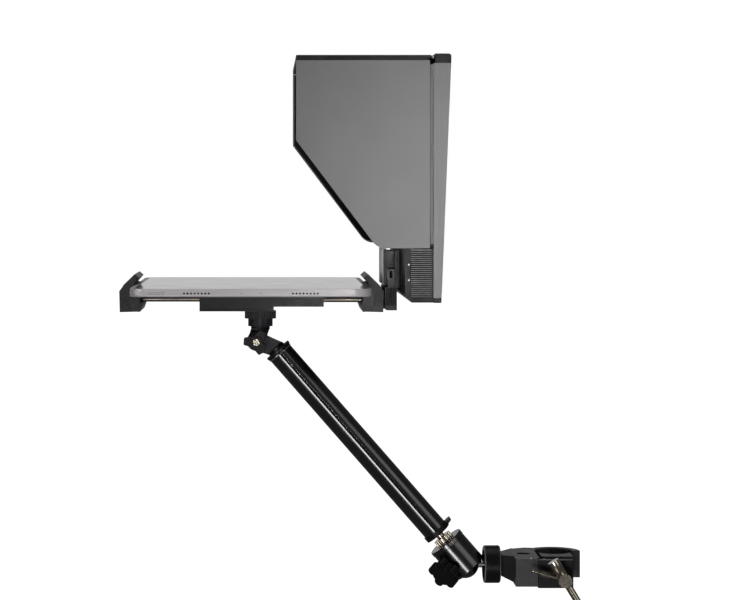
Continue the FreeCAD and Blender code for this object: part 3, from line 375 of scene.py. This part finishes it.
def round_edges(obj, width):
    """Rounded hard edges, with flat faces kept flat in their shading."""
    bevel = obj.modifiers.new("rounded", "BEVEL")
    bevel.width = width
    bevel.segments = BEVEL_SEGMENTS
    bevel.limit_method = "ANGLE"
    bevel.angle_limit = math.radians(30.0)
    bevel.miter_outer = "MITER_ARC"
    bevel.harden_normals = True
    weights = obj.modifiers.new("weights", "WEIGHTED_NORMAL")
    weights.keep_sharp = True


def dress(obj, node):
    """Ride a piece on its node's body, with the node's finish."""
    obj.data.materials.clear()
    obj.data.materials.append(materials[slot_of[node]])
    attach(obj, body_of[node])
    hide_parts(node)


def fitted(obj, node, finish):
    """Ride an added piece on a node's body, with a finish."""
    obj.data.materials.append(materials[finish])
    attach(obj, body_of[node])


def refined(node, width, finish=None):
    """A node's surface with merged facets and rounded edges, width in millimetres."""
    mesh = frame["nodes"][node].data.copy()
    mesh.name = node + "_finished"
    bm = bmesh.new()
    bm.from_mesh(mesh)
    bmesh.ops.remove_doubles(bm, verts=bm.verts, dist=2e-6)
    bmesh.ops.dissolve_limit(bm, angle_limit=math.radians(0.6), verts=bm.verts, edges=bm.edges)
    bm.to_mesh(mesh)
    bm.free()
    smooth(mesh)
    obj = add_object(node + "_finished", mesh)
    if width:
        round_edges(obj, width * MM)
    dress(obj, node)
    if finish:
        obj.data.materials[0] = materials[finish]
    return obj


def paint(obj, finish, test):
    """Another finish on the faces whose centre passes a test."""
    obj.data.materials.append(materials[finish])
    last = len(obj.data.materials) - 1
    for face in obj.data.polygons:
        if test(face.center):
            face.material_index = last


def turned(obj, point, axis, slack=0.06):
    """True round shading on the faces that lie on cylinders about an axis."""
    mesh = obj.data
    axis = Vector(axis).normalized()
    normals = [Vector(c.vector) for c in mesh.corner_normals]
    for face in mesh.polygons:
        if abs(face.normal.dot(axis)) > 0.03:
            continue
        radials = []
        for loop in face.loop_indices:
            off = mesh.vertices[mesh.loops[loop].vertex_index].co - point
            radials.append(off - axis * off.dot(axis))
        reaches = [r.length for r in radials]
        middle = sum(radials, Vector((0, 0, 0)))
        if min(reaches) < 1e-5 or max(reaches) - min(reaches) > slack * MM or middle.length < 1e-6:
            continue
        facing = face.normal.dot(middle.normalized())
        if abs(facing) < 0.97:
            continue
        for loop, radial in zip(face.loop_indices, radials):
            normals[loop] = radial.normalized() * (1 if facing > 0 else -1)
    mesh.normals_split_custom_set(normals)


def arm_point(along, up=0.0, side=0.0):
    """A point in the arm's own frame, in millimetres."""
    return ARM_START + (ARM_DIR * along + ARM_UP * up + Vector((0, side, 0))) * MM


def swept(bm, line, section, closed_ends=True):
    """A tube of mesh along a line of (point, out, across) frames, with a section of (out, across) points."""
    rings = []
    for point, out, across in line:
        rings.append([bm.verts.new(point + out * u + across * v) for u, v in section])
    count = len(section)
    for first, second in zip(rings, rings[1:]):
        for i in range(count):
            j = (i + 1) % count
            bm.faces.new((first[i], first[j], second[j], second[i]))
    if closed_ends:
        bm.faces.new(list(reversed(rings[0])))
        bm.faces.new(rings[-1])


def round_section(radius):
    """An eight-sided section of a wire, in metres."""
    turns = [math.pi * k / 4 for k in range(8)]
    return [(radius * math.cos(a), radius * math.sin(a)) for a in turns]


def helix_line(centre, radius, start, end, pitch, steps):
    """Frames along a helix about an axis parallel to X, in metres."""
    turns = (end - start) / pitch
    line = []
    for i in range(int(turns * steps) + 1):
        turn = 2 * math.pi * i / steps
        out = Vector((0, math.cos(turn), math.sin(turn)))
        point = Vector((start + pitch * i / steps, centre[0], centre[1])) + out * radius
        line.append((point, out, Vector((1, 0, 0))))
    return line


def finished_mesh(bm, name):
    """An object for hand-built mesh, with its faces turned outwards."""
    bmesh.ops.recalc_face_normals(bm, faces=bm.faces)
    mesh = bpy.data.meshes.new(name)
    bm.to_mesh(mesh)
    bm.free()
    smooth(mesh, 40.0)
    return add_object(name, mesh)


def screw_head(bm, centre, way, radius, height):
    """A low screw head with a chamfered rim and a six-sided recess, on a surface that faces a way."""
    turn = way.to_track_quat("Z", "Y").to_matrix()
    rings = []
    profile = ((1.0, 0.0), (1.0, 0.6), (0.86, 1.0), (0.5, 1.0), (0.46, 0.9), (0.46, 0.1))
    for reach, level in profile:
        ring = []
        for i in range(24):
            a = 2 * math.pi * i / 24
            r = radius * reach
            if reach < 0.6:
                r *= math.cos(math.pi / 6) / math.cos((a % (math.pi / 3)) - math.pi / 6)
            spot = Vector((r * math.cos(a), r * math.sin(a), height * level))
            ring.append(bm.verts.new(centre + turn @ spot))
        rings.append(ring)
    for first, second in zip(rings, rings[1:]):
        for i in range(24):
            j = (i + 1) % 24
            bm.faces.new((first[i], first[j], second[j], second[i]))
    bm.faces.new(rings[-1])
    bm.faces.new(list(reversed(rings[0])))


# ---------------------------------------------------------------- pieces

WIDTHS = {"lower_knuckle": 0.0, "lock_wheel": 0.0, "arm_head": 0.0, "lock_collar": 0.0, "bottom_cap": 0.0,
          "left_flap": 0.45, "right_flap": 0.45, "top_flap": 0.4, "tablet_shell": 0.08,
          "hood_fasteners": 0.12}
FINISHES = {
    "bracket_base": "edged_black", "centre_block": "edged_black", "lock_wheel": "edged_black",
    "side_grips": "ribbed_grey", "arm_head": "knuckle_black", "lower_knuckle": "knuckle_black",
    "front_rods": "rod_steel", "rear_rods": "rod_steel", "tilt_bolt": "aged_steel", "stud_nut": "aged_steel",
    "lower_stud": "aged_steel", "clamp_lever": "aged_steel", "clamp_screw": "aged_steel",
    "hood_fasteners": "rod_steel", "lock_collar": "collar_grey",
}
TURNED = {"black_anodised", "chrome", "steel"}
ARM_ROUND = ("arm_tube", "ball_housing", "ball_collar", "bottom_cap", "lower_knuckle", "stud_nut",
             "lower_stud")
STEM_ROUND = ("ball_stem", "lock_wheel")
SPRING_WIRE = 0.4 * MM

SHELL_LOW, SHELL_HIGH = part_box("tablet_shell")
STEM_LOW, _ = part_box("ball_stem")
_, GRIP_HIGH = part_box("side_grips")
_, TUBE_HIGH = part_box("arm_tube")
WHEEL_LOW, WHEEL_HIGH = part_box("lock_wheel")
WHEEL_MIDDLE = joint_of["lock_wheel_turn"]["pos_m"][2]
COLLAR_MIDDLE = 199.0


def shell_hole(face):
    """Whether a face of the tablet's shell is inside one of its sound holes or its port."""
    side = SHELL_HIGH[1] - abs(face.y)
    inside = 0.02 * MM < side < 6.2 * MM and abs(face.x - (SHELL_LOW[0] + SHELL_HIGH[0]) / 2) < 70 * MM
    return inside and SHELL_LOW[2] + 1.3 * MM < face.z < SHELL_HIGH[2] - 0.75 * MM


def groove_floor(face):
    """Whether a face of the side grips is at the bottom of a groove."""
    return abs(face.y) < GRIP_HIGH[1] - 0.4 * MM


def tube_groove(face):
    """Whether a face of the tube is inside one of its long grooves."""
    off = face - ARM_START
    off -= ARM_DIR * off.dot(ARM_DIR)
    return abs(off.y) > 9.0 * MM and off.length < TUBE_HIGH[1] - 0.06 * MM


def rim_highlight_faces(face):
    """Whether a face of the lock wheel is on the turned edge of its rim, which gets a painted highlight."""
    reach = math.hypot(face.y, face.z - WHEEL_MIDDLE)
    out = WHEEL_HIGH[1] - reach
    return 0.1 * MM < out < 0.9 * MM and min(face.x - WHEEL_LOW[0], WHEEL_HIGH[0] - face.x) < 0.9 * MM


def hook_part(face):
    """Whether a face of a jaw is on the hook over the tablet's edge."""
    return face.z > SHELL_LOW[2] + 0.2 * MM


def ball_part(face):
    """Whether a face of the stem's node is on its ball."""
    return face.x < STEM_LOW[0] + 20.0 * MM


def collar_screw_part(face):
    """Whether a face of the collar's node is on its small screw."""
    off = face - arm_point(COLLAR_MIDDLE, 2.15, -13.5)
    return off.length < 1.9 * MM


def springs():
    """The two coil springs in the centre block."""
    low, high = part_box("jaw_springs")
    height = (low[2] + high[2]) / 2
    coil_r = (high[2] - low[2]) / 2 - SPRING_WIRE
    offset = high[1] - coil_r - SPRING_WIRE
    section = round_section(SPRING_WIRE)
    bm = bmesh.new()
    for side in (-1, 1):
        start, end = low[0] + SPRING_WIRE, high[0] - SPRING_WIRE
        line = helix_line((side * offset, height), coil_r, start, end, 4.4 * MM, 14)
        swept(bm, line, section)
    obj = finished_mesh(bm, "jaw_springs_coiled")
    fitted(obj, "jaw_springs", "steel")
    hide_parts("jaw_springs")
    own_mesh(obj)


def lens_thread():
    """The thread's ridge round the lens ring's spigot."""
    radius = mount_of["lens_spigot"]["dims"]["r_mm"] * MM
    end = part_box("adapter_ring")[1][0]
    section = [(-0.2 * MM, -0.33 * MM), (0.16 * MM, 0.0), (-0.2 * MM, 0.33 * MM)]
    bm = bmesh.new()
    swept(bm, helix_line((0.0, 0.0), radius, end - 5.6 * MM, end - 0.5 * MM, 0.75 * MM, 96), section)
    obj = finished_mesh(bm, "lens_thread")
    fitted(obj, "adapter_ring", "black_anodised")


def ring_screw():
    """The small silver screw in the ring at the top of the tube."""
    out = (ARM_UP * 0.21 + Vector((0, -0.978, 0))).normalized()
    bm = bmesh.new()
    screw_head(bm, arm_point(-1.4) + out * 10.85 * MM, out, 1.0 * MM, 0.35 * MM)
    obj = finished_mesh(bm, "tube_ring_screw")
    fitted(obj, "lower_knuckle", "chrome")


def tube_edge():
    """The bright turned edge where the tube meets its top ring."""
    line = []
    for i in range(97):
        turn = 2 * math.pi * i / 96
        out = ARM_UP * math.cos(turn) + Vector((0, math.sin(turn), 0))
        line.append((arm_point(0.25) + out * 10.3 * MM, out, ARM_DIR))
    section = round_section(0.5 * MM)
    bm = bmesh.new()
    swept(bm, line, section, False)
    bmesh.ops.remove_doubles(bm, verts=bm.verts, dist=1e-6)
    obj = finished_mesh(bm, "tube_edge")
    fitted(obj, "arm_tube", "chrome")


def clamp_screws():
    """Two small screws on top of the clamp."""
    low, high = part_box("clamp_block")
    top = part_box("clamp_body")[1][2]
    bm = bmesh.new()
    for along, level in ((-5.0, top), (5.0, high[2])):
        spot = Vector((low[0] + along * MM, low[1] + 4.0 * MM, level))
        screw_head(bm, spot, Vector((0, 0, 1)), 1.4 * MM, 0.5 * MM)
    obj = finished_mesh(bm, "clamp_screws")
    fitted(obj, "clamp_body", "steel")


for node in sorted(set(frame["nodes"]) - {"jaw_springs"}):
    usual = 0.0 if slot_of[node] in TURNED else USUAL_BEVEL
    piece = refined(node, WIDTHS.get(node, usual), FINISHES.get(node))
    if node in ARM_ROUND:
        turned(piece, ARM_START, ARM_DIR)
    if node in STEM_ROUND:
        turned(piece, Vector(joint_of["lock_wheel_turn"]["pos_m"]), (1, 0, 0))
    if node == "adapter_ring":
        turned(piece, Vector((0, 0, 0)), (1, 0, 0))
    if node in ("arm_head", "lock_collar"):
        turned(piece, Vector(joint_of["collar_turn"]["pos_m"]), (0, 0, 1))
    if node == "side_grips":
        # painted shade on the floors of the grip grooves
        paint(piece, "painted_recess_shade", groove_floor)
    if node in ("front_jaw", "rear_jaw"):
        paint(piece, "jaw_light", hook_part)
    if node == "tablet_shell":
        # painted shade inside the tablet's sound holes and port
        paint(piece, "painted_recess_shade", shell_hole)
    if node == "arm_tube":
        # painted shade along the tube's long groove, drawn as a dark line
        paint(piece, "painted_recess_shade", tube_groove)
    if node == "lock_wheel":
        # painted highlight: the rim's turned edge painted light grey
        paint(piece, "ribbed_grey", rim_highlight_faces)
    if node == "ball_stem":
        paint(piece, "black_anodised", ball_part)
    if node == "ball_collar":
        paint(piece, "chrome", collar_screw_part)
springs()
lens_thread()
ring_screw()
tube_edge()
clamp_screws()


# ---------------------------------------------------------------- stage, lights and camera


def floor():
    """A wide pale floor well under the object."""
    low = Vector(cad_box[0])
    bm = bmesh.new()
    bmesh.ops.create_grid(bm, x_segments=8, y_segments=8, size=30.0)
    mesh = bpy.data.meshes.new("floor")
    bm.to_mesh(mesh)
    bm.free()
    obj = add_object("floor", mesh)
    obj.location = (0, 0, low.z - FLOOR_DROP)
    mat, shader = new_material("floor_white", (0.85, 0.85, 0.85), 0.7)
    shader.inputs["Emission Color"].default_value = (1, 1, 1, 1)
    shader.inputs["Emission Strength"].default_value = 1.0
    obj.data.materials.append(mat)
    obj.visible_glossy = False
    obj.visible_diffuse = False


def area_light(name, place, aim, size, power):
    """A soft rectangular light that points at a place."""
    data = bpy.data.lights.new(name, "AREA")
    data.shape = "RECTANGLE"
    data.size, data.size_y = size
    data.energy = power
    obj = bpy.data.objects.new(name, data)
    bpy.context.scene.collection.objects.link(obj)
    way = Vector(aim) - Vector(place)
    obj.matrix_world = Matrix.Translation(place) @ way.to_track_quat("-Z", "Y").to_matrix().to_4x4()
    return obj


def strip_light(name, place, aim, along, size, power):
    """A long soft light whose length runs along a direction."""
    data = bpy.data.lights.new(name, "AREA")
    data.shape = "RECTANGLE"
    data.size, data.size_y = size
    data.energy = power
    obj = bpy.data.objects.new(name, data)
    bpy.context.scene.collection.objects.link(obj)
    back = (Vector(place) - Vector(aim)).normalized()
    across = back.cross(along).normalized()
    long_way = across.cross(back)
    turn = Matrix((long_way, across, back)).transposed()
    obj.matrix_world = Matrix.Translation(place) @ turn.to_4x4()


def world():
    """White behind the object, and a dimmer room round it that is brighter on the far side."""
    sky = bpy.data.worlds.new("studio")
    bpy.context.scene.world = sky
    sky.use_nodes = True
    tree = sky.node_tree
    seen = tree.nodes["Background"]
    seen.inputs["Color"].default_value = (1, 1, 1, 1)
    seen.inputs["Strength"].default_value = 1.0
    room = tree.nodes.new("ShaderNodeBackground")
    room.inputs["Color"].default_value = (1, 1, 1, 1)
    coords = tree.nodes.new("ShaderNodeTexCoord")
    parts = tree.nodes.new("ShaderNodeSeparateXYZ")
    fade = tree.nodes.new("ShaderNodeMapRange")
    fade.inputs["From Min"].default_value = 0.86
    fade.inputs["From Max"].default_value = 0.97
    fade.inputs["To Min"].default_value = ROOM_DIM
    fade.inputs["To Max"].default_value = ROOM_BRIGHT
    tree.links.new(coords.outputs["Generated"], parts.inputs[0])
    tree.links.new(parts.outputs["Y"], fade.inputs["Value"])
    tree.links.new(fade.outputs["Result"], room.inputs["Strength"])
    path = tree.nodes.new("ShaderNodeLightPath")
    mix = tree.nodes.new("ShaderNodeMixShader")
    tree.links.new(path.outputs["Is Camera Ray"], mix.inputs[0])
    tree.links.new(room.outputs[0], mix.inputs[1])
    tree.links.new(seen.outputs[0], mix.inputs[2])
    tree.links.new(mix.outputs[0], tree.nodes["World Output"].inputs["Surface"])


def pool_light(name, place, aim, angle, radius, power):
    """A soft pool of light on part of the object."""
    data = bpy.data.lights.new(name, "SPOT")
    data.spot_size = math.radians(angle)
    data.spot_blend = 1.0
    data.shadow_soft_size = radius
    data.energy = power
    obj = bpy.data.objects.new(name, data)
    bpy.context.scene.collection.objects.link(obj)
    way = Vector(aim) - Vector(place)
    obj.matrix_world = Matrix.Translation(place) @ way.to_track_quat("-Z", "Y").to_matrix().to_4x4()


def camera():
    """A long lens straight at the object's side, shifted so the object sits left and high."""
    data = bpy.data.cameras.new("camera")
    data.lens = LENS_MM
    data.sensor_width = SENSOR_MM
    data.shift_x, data.shift_y = SHIFT
    data.clip_end = 100.0
    obj = bpy.data.objects.new("camera", data)
    bpy.context.scene.collection.objects.link(obj)
    obj.location = CAMERA_PLACE
    obj.rotation_euler = (math.radians(90), 0, 0)
    bpy.context.scene.camera = obj


floor()
world()
camera()
strip_light("tube_strip", (-0.341, -1.9, -0.727), (-0.06, 0, -0.215), ARM_DIR, (0.75, 0.42), 14)
area_light("right", (1.3, -1.3, 0.1), (-0.05, 0, -0.05), (0.9, 1.4), 5)
area_light("top", (-0.1, 0.1, 1.3), (-0.1, 0, 0), (1.2, 1.2), 5)
area_light("left", (-1.5, -1.1, -0.1), (-0.05, 0, -0.08), (0.8, 0.8), 2.8)
pool_light("pool", (0.1, -1.6, -0.05), (0.04, -0.1, -0.02), 10.0, 0.15, 106)
pool_light("plate", (-0.9, -0.5, -0.08), (-0.045, -0.02, -0.075), 3.6, 0.02, 13)
bpy.context.scene.view_settings.view_transform = "Standard"
